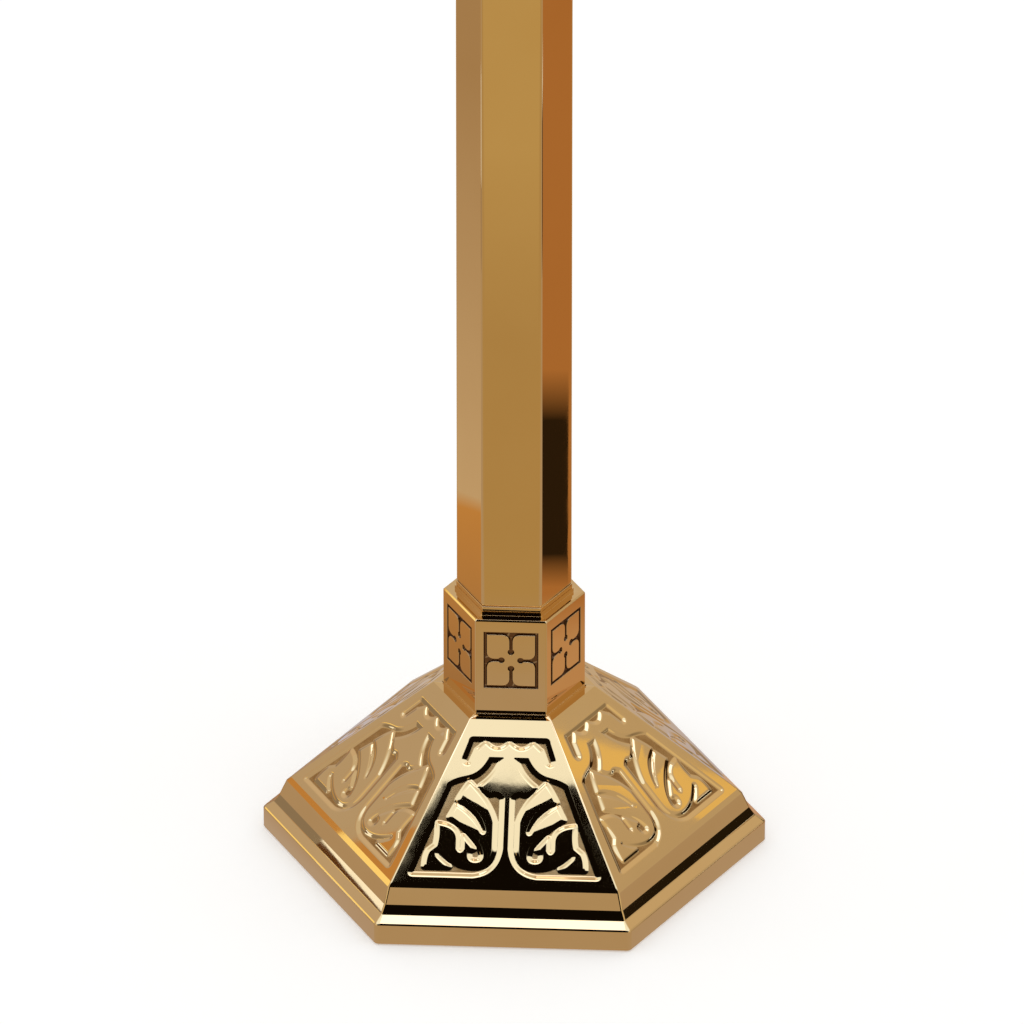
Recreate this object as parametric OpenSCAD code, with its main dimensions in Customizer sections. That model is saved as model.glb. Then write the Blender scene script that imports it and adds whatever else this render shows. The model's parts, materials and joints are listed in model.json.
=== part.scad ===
// Processional torch: a hexagonal shaft with a candle socket, which lifts out of a weighted stand

/* [Base casting] */
// Corner radius of the base at its lowest step
base_r = 127; // [115:1:140]
// Height of the lowest step over the table
step_h = 12.4; // [10:0.2:16]
// Bevel along the top of the lowest step
step_bevel = 0.8; // [0.4:0.1:1.4]
// Height of the flat bevel over the lowest step
low_bevel_h = 2.85; // [2:0.05:4]
// Reach of that bevel, at a corner
low_bevel_w = 4.7; // [3:0.1:6]
// Height of the steep bevel over the flat one
high_bevel_h = 4.35; // [3:0.05:6]
// Reach of that bevel, at a corner
high_bevel_w = 2.9; // [2:0.1:4]
// Height of the band under the panels
band_h = 8.2; // [6:0.2:11]
// Inward lean of that band, at a corner
band_lean = 3.6; // [2:0.2:5]
// Width of the fine groove between the band and the panels
quirk_w = 0.9; // [0.6:0.1:1.4]
// Rise of the sloping panels
panel_h = 59.5; // [50:0.5:68]
// Thickness of the panels
panel_wall = 5; // [4:0.25:7]
// Thickness of the crown that carries the collar
crown_t = 12; // [9:0.5:16]
// Ledge of the crown round the collar's foot, at a corner
crown_ledge = 0.6; // [0.3:0.1:1.2]
// Width of the solid rim inside the panels' foot, at a corner
rim_w = 6; // [4:0.5:9]
// Depth of the leaf relief in the panels
relief_d = 2; // [1:0.1:2.6]

/* [Collar] */
// Projection of the collar's face beyond the shaft, at a corner
collar_step = 6.5; // [5:0.1:9]
// Height of the collar's plain foot edge
foot_lip = 1.1; // [0.6:0.1:1.8]
// Flare of the collar's foot, at a corner
foot_flare = 4.5; // [2.5:0.25:6]
// Reach of the ledge on the collar's foot, at a corner
foot_ledge_w = 2.25; // [1.5:0.25:3]
// Height of the bevel between that ledge and the collar's faces
foot_bevel_h = 3.7; // [2.5:0.1:6]
// Height of the collar's flat faces
face_h = 49; // [44:0.5:56]
// Bevel along the top of those faces
shoulder_bevel = 0.8; // [0.5:0.1:1.2]
// Rise of the ledges on the foot and round the shaft
ledge_rise = 0.4; // [0.2:0.1:0.6]
// Height of the upright edge between the ledges round the shaft
neck_edge_h = 0.6; // [0.4:0.1:1.2]
// Bevel along the top of that edge
neck_bevel = 0.6; // [0.4:0.1:1]
// Margin of the collar's top round the shaft, at a corner
seat_margin = 0.8; // [0.4:0.1:1.2]
// Width of the four-petal panel
petal_frame_w = 27.4; // [22:0.2:31]
// Height of the four-petal panel
petal_frame_h = 32.6; // [26:0.2:37]
// Plain strip over the four-petal panel
petal_frame_drop = 6; // [3:0.1:9]
// Width of the groove that frames the four petals
petal_groove_w = 1.7; // [1:0.1:2.2]
// Width of the grooves between the petals
petal_gap = 1.7; // [1:0.1:2.2]
// Depth of the grooves in the four-petal panel
petal_groove_d = 1.2; // [0.6:0.1:2]
// Radius of the petals' outer corners
petal_corner_r = 4; // [2:0.25:5]
// Distance from the panel's middle to the round end of a groove
petal_bulb_at = 4.8; // [3.5:0.1:6]
// Radius of the round end of a groove
petal_bulb_r = 1.7; // [1.2:0.1:2.2]
// Diameter of the dowels between collar and base
dowel_d = 4; // [3:0.5:5]
// Length of a dowel, half of it in each piece
dowel_l = 13; // [8:0.5:18]

/* [Socket in the stand] */
// Diameter of the shaft's spigot
spigot_d = 22; // [18:0.5:25]
// Length of the spigot below the shaft
spigot_l = 100; // [80:1:110]
// Length of the taper at the spigot's end
spigot_lead = 3; // [2:0.25:5]
// Wall of the bushes
bush_wall = 2.95; // [2:0.05:4]
// Length of a bush
bush_l = 18; // [10:0.5:24]
// Wall of the socket tube
socket_wall = 3; // [2:0.25:4]
// Length of the socket tube under its flange
socket_l = 104; // [90:1:120]
// Projection of the socket tube's flange
socket_flange_w = 4.5; // [3:0.25:5]
// Thickness of that flange
socket_flange_t = 3; // [2:0.25:4]
// Depth of the socket tube below the collar's top
socket_sink = 0.5; // [0.3:0.1:1]
// Thickness of the washer under the crown
crown_washer_t = 3; // [2:0.25:4]
// Projection of the washer beyond the tube
crown_washer_w = 9; // [6:0.5:12]
// Thickness of the nut under the crown
crown_nut_t = 10; // [6:0.5:14]
// Across flats of the nut under the crown
crown_nut_af = 46; // [42:0.5:52]

/* [Underside] */
// Thickness of the felt
felt_t = 2; // [1.5:0.1:3]
// How far the felt stands below the rim
felt_proud = 0.8; // [0.4:0.1:1.2]
// Margin of the felt inside the bottom plate, at a corner
felt_margin = 2.5; // [1:0.25:5]
// Thickness of the bottom plate
plate_t = 2; // [1.5:0.1:3]
// Width of the rim round the bottom plate, at a corner
plate_rim = 5; // [3:0.25:7]
// Diameter of the bottom plate's screws
screw_d = 4; // [3:0.25:4.5]
// Diameter of a countersunk screw head
screw_head_d = 7.6; // [6.5:0.1:9]
// Length of a screw in the rim
screw_l = 9; // [6:0.5:10]
// Distance of the screws from the bottom plate's corners
screw_inset = 7.5; // [6.5:0.25:9]
// Height of the ballast
ballast_h = 20; // [14:1:24]
// Hole through the ballast
ballast_hole_d = 64; // [56:1:80]
// Gap between the ballast and the casting
ballast_gap = 3; // [1:0.5:6]

/* [Shaft] */
// Corner radius of the hexagonal shaft
shaft_r = 29.1; // [27:0.1:32]
// Wall of the shaft
shaft_wall = 2; // [1.5:0.1:3]
// Length of the shaft tube
shaft_l = 848; // [600:1:1000]
// Thickness of the end plates that close the shaft
end_plate_t = 2.5; // [2:0.1:4]
// Length of the plugs inside the shaft
plug_l = 22; // [15:1:30]
// Diameter of the tie rod
rod_d = 8; // [6:0.5:9]
// Thickness of the nuts on the tie rod
rod_nut_t = 6.5; // [5:0.25:8]
// Across flats of the nuts on the tie rod
rod_nut_af = 13; // [11:0.25:14]
// Thickness of the washers on the tie rod
rod_washer_t = 1.6; // [1:0.1:2.4]
// Projection of those washers beyond the nuts' corners
rod_washer_w = 0.4; // [0.2:0.1:1]
// Depth of the tie rod's nut above the spigot's end
rod_nut_sink = 2; // [1:0.25:4]

/* [Head] */
// Corner radius of the drip pan
pan_r = 72; // [64:1:82]
// Height of the drip pan
pan_h = 17; // [14:0.5:22]
// Height of the drip pan's upright edge
pan_edge_h = 5; // [3:0.25:7]
// Thickness of the drip pan's edge, at a corner
pan_edge_t = 4; // [3:0.25:6]
// Thickness of the drip pan's floor
pan_floor_t = 7; // [5.5:0.25:9]
// Reach of the drip pan's hollow underside, at a corner
pan_cove_w = 20; // [14:0.5:26]
// Inward slope of the dish's side, at a corner
dish_slope = 6; // [3:0.5:9]
// Diameter of the candle
candle_d = 38.1; // [32:0.1:42]
// Depth that the candle stands in its socket
candle_depth = 42; // [32:1:52]
// Thinnest wall of the candle socket
cup_wall = 3; // [2.5:0.25:5]
// Thickness of the candle socket's floor
cup_floor_t = 14; // [12:0.5:18]
// Depth of the nut below the candle
cup_nut_sink = 0.5; // [0.3:0.1:1]
// Flare of the candle socket's foot and lip, at a corner
cup_flare = 3.5; // [2:0.25:5]
// Height of the candle socket's foot and lip edges
cup_edge_h = 3; // [2:0.25:4]
// Height of the hollow mouldings at the foot and lip
cup_cove_h = 6; // [4:0.25:8]
// Height of the round tenons that centre the upper collar
tenon_h = 6; // [4:0.5:9]

/* [Fits] */
// Radial clearance of the spigot in its bushes
run_gap = 0.05; // [0.02:0.01:0.1]
// Radial clearance of fixed pieces in their holes
seat_gap = 0.05; // [0.02:0.01:0.1]
// Radial clearance of the tie rod in its holes
rod_gap = 0.25; // [0.1:0.05:0.4]
// Radial clearance of the candle
candle_gap = 0.4; // [0.2:0.1:0.8]

/* [Hidden] */
$fn = 96;

brass = "goldenrod";
bronze = "peru";
steel = "silver";
iron = "dimgray";
felt = "darkgreen";

// Steps that a curved stretch of an outline is drawn with
curve_steps = 6;
// Length by which a cut runs past the face that it opens
past = 1;

// Levels of the stand, upwards from the table
z_plate = felt_t;
z_rim_seat = z_plate + plate_t;
z_bevel = step_h + low_bevel_h;
z_band = z_bevel + high_bevel_h;
z_quirk = z_band + band_h;
z_panel = z_quirk + quirk_w;
z_crown = z_panel + panel_h;
z_ceiling = z_crown - crown_t;

// Corner radii of the stand, inwards from its edge
bevel_foot_r = base_r - step_bevel;
bevel_r = bevel_foot_r - low_bevel_w;
band_r = bevel_r - high_bevel_w;
band_top_r = band_r - band_lean;
panel_foot_r = band_top_r - quirk_w;
collar_r = shaft_r + collar_step;
collar_foot_r = collar_r + foot_flare;
panel_top_r = collar_foot_r + crown_ledge;
cavity_r = panel_foot_r - rim_w;
plate_hole_r = base_r - plate_rim;
plate_r = plate_hole_r - seat_gap;
screw_at = plate_r - screw_inset;
felt_r = plate_r - felt_margin;
ballast_r = flat(cavity_r) - ballast_gap;

// Slope of the panels, and its length
panel_angle = atan2(panel_h, flat(panel_foot_r) - flat(panel_top_r));
panel_l = panel_h / sin(panel_angle);

// Levels of the collar, upwards from its foot
foot_ledge_z = foot_lip + ledge_rise;
collar_face_z = foot_ledge_z + foot_bevel_h;
collar_shoulder_z = collar_face_z + face_h;
shoulder_top_z = collar_shoulder_z + shoulder_bevel;
neck_z = shoulder_top_z + ledge_rise;
neck_bevel_z = neck_z + neck_edge_h;
neck_top_z = neck_bevel_z + neck_bevel;
collar_h = neck_top_z + ledge_rise;
collar_top_r = shaft_r + seat_margin;
shoulder_r = collar_r - shoulder_bevel;
neck_r = (shoulder_r + collar_top_r) / 2;
petal_frame_z = collar_shoulder_z - petal_frame_drop - petal_frame_h / 2;

// Socket in the stand, and what stands in it
z_seat = z_crown + collar_h;
spigot_r = spigot_d / 2;
bush_r = spigot_r + run_gap + bush_wall;
socket_r = bush_r + seat_gap + socket_wall;
socket_flange_r = socket_r + socket_flange_w;
socket_hole_r = socket_r + seat_gap;
z_socket_top = z_seat - socket_sink;
z_socket = z_socket_top - socket_l;
z_washer = z_ceiling - crown_washer_t;
z_nut = z_washer - crown_nut_t;
dowel_r = dowel_d / 2;
dowel_at = (socket_hole_r + flat(collar_r)) / 2;

// Shaft and head, upwards from the stand's collar
z_shaft = z_seat + end_plate_t;
z_shaft_top = z_shaft + shaft_l;
z_top_collar = z_shaft_top + end_plate_t;
z_pan = z_top_collar + collar_h;
z_dish = z_pan + pan_floor_t;
z_candle = z_dish + cup_floor_t;
shaft_hole_r = shaft_r - shaft_wall / cos(30);
plug_r = shaft_hole_r - seat_gap / cos(30);
tenon_r = socket_hole_r - seat_gap;
rod_r = rod_d / 2;
rod_hole_r = rod_r + rod_gap;
rod_washer_r = rod_nut_af / 2 / cos(30) + rod_washer_w;
rod_pocket_r = rod_washer_r + rod_gap;
rod_stack = rod_washer_t + rod_nut_t;
z_spigot = z_seat - spigot_l;
z_rod = z_spigot + rod_nut_sink;
z_rod_washer = z_rod + rod_nut_t;
z_spigot_pocket = z_rod_washer + rod_washer_t;
z_cup_pocket = z_candle - rod_stack - cup_nut_sink;
z_rod_top = z_cup_pocket + rod_stack;
candle_hole_r = candle_d / 2 + candle_gap;
cup_r = (candle_hole_r + cup_wall) / cos(30);

// Distance from the axis to a flat of a hexagon with corner radius r
function flat(r) = r * cos(30);

// Quarter of a hollow moulding from [r, z], which runs in by w and up by h
function hollow(r, z, w, h) =
    [for (k = [0 : curve_steps]) let (a = 90 * k / curve_steps) [r - w * sin(a), z + h * (1 - cos(a))]];

// Quarter of a hollow moulding from [r, z], which runs out by w and up by h
function flared(r, z, w, h) = [for (p = hollow(0, z, w, h)) [r - p[0], p[1]]];

// Point at t of the curve from a to b that leans towards c
function bend(a, c, b, t) = (1 - t) * (1 - t) * a + 2 * t * (1 - t) * c + t * t * b;

// Closed outline: an entry is [point] for a straight stretch and [lean, point] for a curve
function outline(path) = [
    for (i = [0 : len(path) - 1])
        let (
            entry = path[i],
            before = path[(i + len(path) - 1) % len(path)],
            from = before[len(before) - 1]
        )
        each len(entry) == 1
            ? [entry[0]]
            : [for (k = [1 : curve_steps]) bend(from, entry[0], entry[1], k / curve_steps)]
];

// Turns of the three pairs of sides, each in two steps, so that all three are rounded off alike
hex_turns = [[60, -30], [60, 30], [120, 30]];

// Solid with six mitred sides, whose outline is a list of [corner radius, z] upwards
module hex_solid(profile) {
    side = [for (p = profile) [flat(p[0]), p[1]]];
    other = [for (i = [len(side) - 1 : -1 : 0]) [-side[i][0], side[i][1]]];
    reach = 3 * max([for (p = profile) p[0]]);
    intersection_for (turn = hex_turns) {
        rotate([0, 0, turn[0]]) {
            rotate([90, 0, turn[1]]) {
                linear_extrude(height = reach, center = true) {
                    polygon(concat(side, other));
                }
            }
        }
    }
}

// Right-hand half of the leaf relief, in millimetres on a panel of this foot width and slope
relief_w = 114;
relief_l = 86.7;
relief_field = [
    [[9.4, 66.8]],
    [[13, 58.8], [20, 57]],
    [[27.5, 55.3], [29.6, 53]],
    [[47.2, 8]],
    [[48.2, 5.5], [45.5, 5.5]],
    [[16, 5.5]],
    [[3.5, 7], [2, 20.5]],
    [[2, 46.5]],
    [[5, 50], [8, 48.6]],
    [[11, 48.4], [13.6, 52.4]],
    [[6, 58], [3.2, 66.8]]
];
relief_leaf = [
    [[8.5, 43.5], [6, 34]],
    [[6, 20.5]],
    [[6, 10.6], [16, 10.6]],
    [[24, 10.6], [32.8, 18]],
    [[35.2, 18], [33.8, 15.5]],
    [[31, 12.5], [28, 10.4]],
    [[40, 10.4]],
    [[39.9, 16], [38.2, 18.5]],
    [[34.8, 21.3]],
    [[33.6, 26], [34.2, 32.5]],
    [[24.6, 31.5], [24, 25]],
    [[24, 20]],
    [[22.6, 17], [21.2, 20]],
    [[21.2, 26]],
    [[15.9, 20]],
    [[18.4, 19.3], [18.2, 16.8]],
    [[18.2, 13.5], [14.9, 13.5]],
    [[11.6, 13.5], [11.6, 16.8]],
    [[13, 26.5], [28.4, 36]],
    [[25.3, 42]],
    [[17, 37], [12.3, 28.5]],
    [[11, 27.4], [10.8, 29.2]],
    [[13.5, 41], [24.5, 44.8]],
    [[22.6, 49], [19, 54]]
];
relief_bracket = [
    [[18, 77.3]],
    [[19.6, 77.3], [20, 75]],
    [[22.9, 66.5]],
    [[23.4, 63], [20.2, 63.2]],
    [[18.6, 63.5], [17.9, 66]],
    [[15.9, 71]],
    [[14.5, 72], [11.9, 74.7]],
    [[6, 68.2], [0, 74.7]]
];

// Points of a relief outline fitted to the panel
function fitted(points) =
    [for (p = points) [p[0] * panel_foot_r / relief_w, p[1] * panel_l / relief_l]];

// Points of half an outline that ends on the panel's middle, and their mirror image
function with_mirror(half) =
    concat(half, [for (i = [len(half) - 2 : -1 : 0]) [-half[i][0], half[i][1]]]);

// Field with its leaf, on one half of a panel
module relief_half() {
    difference() {
        polygon(fitted(outline(relief_field)));
        polygon(fitted(outline(relief_leaf)));
    }
}

// Cutter for the relief of one panel, on the side that faces -Y
module relief_cut() {
    translate([0, -flat(panel_foot_r), z_panel]) {
        rotate([panel_angle, 0, 0]) {
            translate([0, 0, -relief_d]) {
                linear_extrude(height = relief_d + past) {
                    relief_half();
                    mirror([1, 0]) {
                        relief_half();
                    }
                    polygon(fitted(with_mirror(outline(relief_bracket))));
                }
            }
        }
    }
}

// One groove between two petals, from its round end to the frame, whose inner edge is at reach
module petal_groove(reach) {
    side = petal_gap / 2;
    mouth = side + petal_corner_r;
    into = reach + petal_groove_w / 2;
    translate([petal_bulb_at, 0]) {
        circle(r = petal_bulb_r);
    }
    polygon(outline([
        [[petal_bulb_at, -side]],
        [[reach - petal_corner_r, -side]],
        [[reach, -side], [reach, -mouth]],
        [[into, -mouth]],
        [[into, mouth]],
        [[reach, mouth]],
        [[reach, side], [reach - petal_corner_r, side]],
        [[petal_bulb_at, side]]
    ]));
}

// Grooves of the four-petal panel
module petal_panel() {
    inner = [petal_frame_w - 2 * petal_groove_w, petal_frame_h - 2 * petal_groove_w];
    difference() {
        square([petal_frame_w, petal_frame_h], center = true);
        square(inner, center = true);
    }
    for (turn = [0, 180]) {
        rotate(turn) {
            petal_groove(inner[0] / 2);
        }
        rotate(turn + 90) {
            petal_groove(inner[1] / 2);
        }
    }
}

// Collar with its foot at z = 0
module collar() {
    difference() {
        hex_solid([
            [collar_foot_r, 0],
            [collar_foot_r, foot_lip],
            [collar_foot_r - foot_ledge_w, foot_ledge_z],
            [collar_r, collar_face_z],
            [collar_r, collar_shoulder_z],
            [shoulder_r, shoulder_top_z],
            [neck_r, neck_z],
            [neck_r, neck_bevel_z],
            [neck_r - neck_bevel, neck_top_z],
            [collar_top_r, collar_h]
        ]);
        translate([0, 0, -past]) {
            cylinder(r = socket_hole_r, h = collar_h + 2 * past);
        }
        for (turn = [0 : 60 : 300]) {
            rotate([90, 0, turn]) {
                translate([0, petal_frame_z, flat(collar_r) - petal_groove_d]) {
                    linear_extrude(height = petal_groove_d + past) {
                        petal_panel();
                    }
                }
            }
        }
    }
}

// Places of the two dowels
module at_dowels() {
    for (side = [-1, 1]) {
        translate([side * dowel_at, 0, z_crown]) {
            children();
        }
    }
}

// Places of the bottom plate's screws, near its corners
module at_screws() {
    for (turn = [0 : 60 : 300]) {
        rotate([0, 0, turn]) {
            translate([screw_at, 0, z_plate]) {
                children();
            }
        }
    }
}

// Countersunk screw with its head's face at z = 0, grown by gap all round
module screw_body(length, gap) {
    cylinder(r1 = screw_head_d / 2 + gap, r2 = screw_d / 2 + gap, h = plate_t);
    cylinder(r = screw_d / 2 + gap, h = length);
}

// Washer or hexagonal nut on the axis
module ring(z, r, hole_r, t) {
    translate([0, 0, z]) {
        difference() {
            cylinder(r = r, h = t);
            translate([0, 0, -past]) {
                cylinder(r = hole_r, h = t + 2 * past);
            }
        }
    }
}
module hex_nut(z, af, hole_r, t) {
    translate([0, 0, z]) {
        difference() {
            cylinder(r = af / 2 / cos(30), h = t, $fn = 6);
            translate([0, 0, -past]) {
                cylinder(r = hole_r, h = t + 2 * past);
            }
        }
    }
}

module base_casting() {
    slope_gap = panel_wall / sin(panel_angle) / cos(30);
    slope_run = 1 / tan(panel_angle) / cos(30);
    ceiling_r = panel_top_r + crown_t * slope_run - slope_gap;
    cavity_bend_z = z_ceiling - (cavity_r - ceiling_r) / slope_run;
    color(brass) {
        difference() {
            hex_solid([
                [base_r, felt_proud],
                [base_r, step_h - step_bevel],
                [bevel_foot_r, step_h],
                [bevel_r, z_bevel],
                [band_r, z_band],
                [band_top_r, z_quirk],
                [panel_foot_r - quirk_w, z_quirk + quirk_w / 2],
                [panel_foot_r, z_panel],
                [panel_top_r, z_crown]
            ]);
            hex_solid([
                [cavity_r, felt_proud - past],
                [cavity_r, cavity_bend_z],
                [ceiling_r, z_ceiling]
            ]);
            translate([0, 0, felt_proud - past]) {
                cylinder(r = plate_hole_r, h = z_rim_seat - felt_proud + past, $fn = 6);
            }
            translate([0, 0, z_ceiling - past]) {
                cylinder(r = socket_hole_r, h = crown_t + 2 * past);
            }
            at_dowels() {
                translate([0, 0, -dowel_l / 2]) {
                    cylinder(r = dowel_r + seat_gap, h = dowel_l);
                }
            }
            at_screws() {
                cylinder(r = screw_d / 2 + seat_gap, h = plate_t + screw_l + past);
            }
            for (turn = [0 : 60 : 300]) {
                rotate([0, 0, turn]) {
                    relief_cut();
                }
            }
        }
    }
}

module base_collar() {
    color(brass) {
        difference() {
            translate([0, 0, z_crown]) {
                collar();
            }
            translate([0, 0, z_socket_top - socket_flange_t]) {
                cylinder(r = socket_flange_r + seat_gap, h = socket_flange_t + past);
            }
            at_dowels() {
                translate([0, 0, -dowel_l / 2]) {
                    cylinder(r = dowel_r + seat_gap, h = dowel_l);
                }
            }
        }
    }
}

module collar_dowels() {
    color(steel) {
        at_dowels() {
            translate([0, 0, -dowel_l / 2]) {
                cylinder(r = dowel_r, h = dowel_l);
            }
        }
    }
}

module socket_tube() {
    color(brass) {
        difference() {
            union() {
                translate([0, 0, z_socket]) {
                    cylinder(r = socket_r, h = socket_l);
                }
                translate([0, 0, z_socket_top - socket_flange_t]) {
                    cylinder(r = socket_flange_r, h = socket_flange_t);
                }
            }
            translate([0, 0, z_socket - past]) {
                cylinder(r = bush_r + seat_gap, h = socket_l + 2 * past);
            }
        }
    }
}

module upper_bush() {
    color(bronze) ring(z_socket_top - bush_l, bush_r, spigot_r + run_gap, bush_l);
}

module lower_bush() {
    color(bronze) ring(z_socket, bush_r, spigot_r + run_gap, bush_l);
}

module crown_washer() {
    color(steel) ring(z_washer, socket_r + crown_washer_w, socket_hole_r, crown_washer_t);
}

module crown_nut() {
    color(brass) hex_nut(z_nut, crown_nut_af, socket_hole_r, crown_nut_t);
}

module ballast_weight() {
    color(iron) ring(z_rim_seat, ballast_r, ballast_hole_d / 2, ballast_h);
}

module bottom_plate() {
    color(steel) {
        difference() {
            translate([0, 0, z_plate]) {
                cylinder(r = plate_r, h = plate_t, $fn = 6);
            }
            at_screws() {
                screw_body(plate_t + past, seat_gap);
            }
        }
    }
}

module plate_screws() {
    color(steel) {
        at_screws() {
            screw_body(plate_t + screw_l, 0);
        }
    }
}

module felt_pad() {
    color(felt) cylinder(r = felt_r, h = felt_t, $fn = 6);
}

module shaft_tube() {
    color(brass) {
        translate([0, 0, z_shaft]) {
            difference() {
                cylinder(r = shaft_r, h = shaft_l, $fn = 6);
                translate([0, 0, -past]) {
                    cylinder(r = shaft_hole_r, h = shaft_l + 2 * past, $fn = 6);
                }
            }
        }
    }
}

module shaft_spigot() {
    color(brass) {
        difference() {
            union() {
                translate([0, 0, z_seat]) {
                    cylinder(r = shaft_r, h = end_plate_t, $fn = 6);
                    cylinder(r = plug_r, h = end_plate_t + plug_l, $fn = 6);
                }
                translate([0, 0, z_spigot + spigot_lead]) {
                    cylinder(r = spigot_r, h = spigot_l);
                }
                translate([0, 0, z_spigot]) {
                    cylinder(r1 = spigot_r - spigot_lead / 2, r2 = spigot_r, h = spigot_lead);
                }
            }
            translate([0, 0, z_spigot - past]) {
                cylinder(r = rod_hole_r, h = spigot_l + end_plate_t + plug_l + 2 * past);
                cylinder(r = rod_pocket_r, h = z_spigot_pocket - z_spigot + past);
            }
        }
    }
}

module tie_rod() {
    color(steel) {
        translate([0, 0, z_rod]) {
            cylinder(r = rod_r, h = z_rod_top - z_rod);
        }
    }
}

module spigot_washer() {
    color(steel) ring(z_rod_washer, rod_washer_r, rod_r + seat_gap, rod_washer_t);
}

module spigot_nut() {
    color(steel) hex_nut(z_rod, rod_nut_af, rod_r + seat_gap, rod_nut_t);
}

module top_plug() {
    color(brass) {
        difference() {
            union() {
                translate([0, 0, z_shaft_top]) {
                    cylinder(r = shaft_r, h = end_plate_t, $fn = 6);
                }
                translate([0, 0, z_shaft_top - plug_l]) {
                    cylinder(r = plug_r, h = plug_l + end_plate_t, $fn = 6);
                }
                translate([0, 0, z_shaft_top]) {
                    cylinder(r = tenon_r, h = end_plate_t + tenon_h);
                }
            }
            translate([0, 0, z_shaft_top - plug_l - past]) {
                cylinder(r = rod_hole_r, h = plug_l + end_plate_t + tenon_h + 2 * past);
            }
        }
    }
}

module top_collar() {
    color(brass) {
        translate([0, 0, z_pan]) {
            mirror([0, 0, 1]) {
                collar();
            }
        }
    }
}

module drip_pan() {
    dish_top_r = pan_r - pan_edge_t;
    cove_foot_r = pan_r - pan_cove_w;
    cove_rise = pan_h - pan_edge_h - foot_lip;
    color(brass) {
        translate([0, 0, z_pan]) {
            difference() {
                union() {
                    hex_solid(concat(
                        [[cove_foot_r, 0]],
                        flared(cove_foot_r, foot_lip, pan_cove_w, cove_rise),
                        [[pan_r, pan_h]]
                    ));
                    translate([0, 0, -tenon_h]) {
                        cylinder(r = tenon_r, h = tenon_h + foot_lip);
                    }
                }
                hex_solid([
                    [dish_top_r - dish_slope, pan_floor_t],
                    [dish_top_r, pan_h],
                    [dish_top_r, pan_h + past]
                ]);
                translate([0, 0, -tenon_h - past]) {
                    cylinder(r = rod_hole_r, h = tenon_h + pan_floor_t + 2 * past);
                }
            }
        }
    }
}

module candle_socket() {
    cup_h = cup_floor_t + candle_depth;
    lip_z = cup_h - cup_edge_h - cup_cove_h;
    color(brass) {
        translate([0, 0, z_dish]) {
            difference() {
                hex_solid(concat(
                    [[cup_r + cup_flare, 0]],
                    hollow(cup_r + cup_flare, cup_edge_h, cup_flare, cup_cove_h),
                    flared(cup_r, lip_z, cup_flare, cup_cove_h),
                    [[cup_r + cup_flare, cup_h]]
                ));
                translate([0, 0, cup_floor_t]) {
                    cylinder(r = candle_hole_r, h = candle_depth + past);
                }
                translate([0, 0, z_cup_pocket - z_dish]) {
                    cylinder(r = rod_pocket_r, h = rod_stack + past);
                }
                translate([0, 0, -past]) {
                    cylinder(r = rod_hole_r, h = cup_floor_t + past);
                }
            }
        }
    }
}

module cup_washer() {
    color(steel) ring(z_cup_pocket, rod_washer_r, rod_r + seat_gap, rod_washer_t);
}

module cup_nut() {
    color(steel) hex_nut(z_cup_pocket + rod_washer_t, rod_nut_af, rod_r + seat_gap, rod_nut_t);
}

base_casting();
base_collar();
collar_dowels();
socket_tube();
upper_bush();
lower_bush();
crown_washer();
crown_nut();
ballast_weight();
bottom_plate();
plate_screws();
felt_pad();
shaft_tube();
shaft_spigot();
tie_rod();
spigot_washer();
spigot_nut();
top_plug();
top_collar();
drip_pan();
candle_socket();
cup_washer();
cup_nut();
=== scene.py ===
import json
import math

import bmesh
import bpy
import numpy as np
from mathutils import Matrix, Vector, geometry


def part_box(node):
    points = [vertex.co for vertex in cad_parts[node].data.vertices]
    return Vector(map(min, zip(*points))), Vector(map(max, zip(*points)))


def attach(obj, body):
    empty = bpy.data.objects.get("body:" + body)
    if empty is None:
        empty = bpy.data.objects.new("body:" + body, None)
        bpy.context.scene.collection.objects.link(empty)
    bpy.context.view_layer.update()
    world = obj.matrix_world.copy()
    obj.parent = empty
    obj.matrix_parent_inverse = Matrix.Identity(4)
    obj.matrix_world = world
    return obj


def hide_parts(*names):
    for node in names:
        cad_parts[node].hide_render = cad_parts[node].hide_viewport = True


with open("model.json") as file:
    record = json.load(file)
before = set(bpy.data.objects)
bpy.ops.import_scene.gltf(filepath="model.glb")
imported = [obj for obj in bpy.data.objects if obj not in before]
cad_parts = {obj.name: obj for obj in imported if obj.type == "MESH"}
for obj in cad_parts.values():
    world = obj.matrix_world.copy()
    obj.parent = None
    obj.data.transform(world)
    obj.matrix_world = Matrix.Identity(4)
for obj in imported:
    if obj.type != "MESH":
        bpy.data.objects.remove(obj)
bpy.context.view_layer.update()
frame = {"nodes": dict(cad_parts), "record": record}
nodes = frame["nodes"]
scene = bpy.context.scene
mm = 0.001
flatShare = math.cos(math.radians(30))  # flat radius of a hexagon over its corner radius
print("frame loaded:", len(nodes), "nodes")


# camera

view = {
    "azimuth": 3.02,  # degrees to the right of the front panel
    "elevation": 31.69,
    "distance": 9.0,
    "lens": 627.6,
    "sensor": 36.0,
    "aimHeight": 0.1882,  # on the torch's axis
    "aimSide": -0.0011,
}


def setCamera():
    azimuth, elevation = math.radians(view["azimuth"]), math.radians(view["elevation"])
    side = Vector((math.cos(azimuth), math.sin(azimuth), 0))
    back = Vector((
        math.sin(azimuth) * math.cos(elevation),
        -math.cos(azimuth) * math.cos(elevation),
        math.sin(elevation),
    ))
    data = bpy.data.cameras.new("camera")
    data.lens, data.sensor_width = view["lens"], view["sensor"]
    data.clip_start, data.clip_end = 0.1, 200
    camera = bpy.data.objects.new("camera", data)
    scene.collection.objects.link(camera)
    camera.location = back * view["distance"]
    aim = Vector((0, 0, view["aimHeight"])) + side * view["aimSide"]
    camera.rotation_euler = (aim - camera.location).to_track_quat("-Z", "Y").to_euler()
    scene.camera = camera


setCamera()
print("camera set")


# materials

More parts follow.
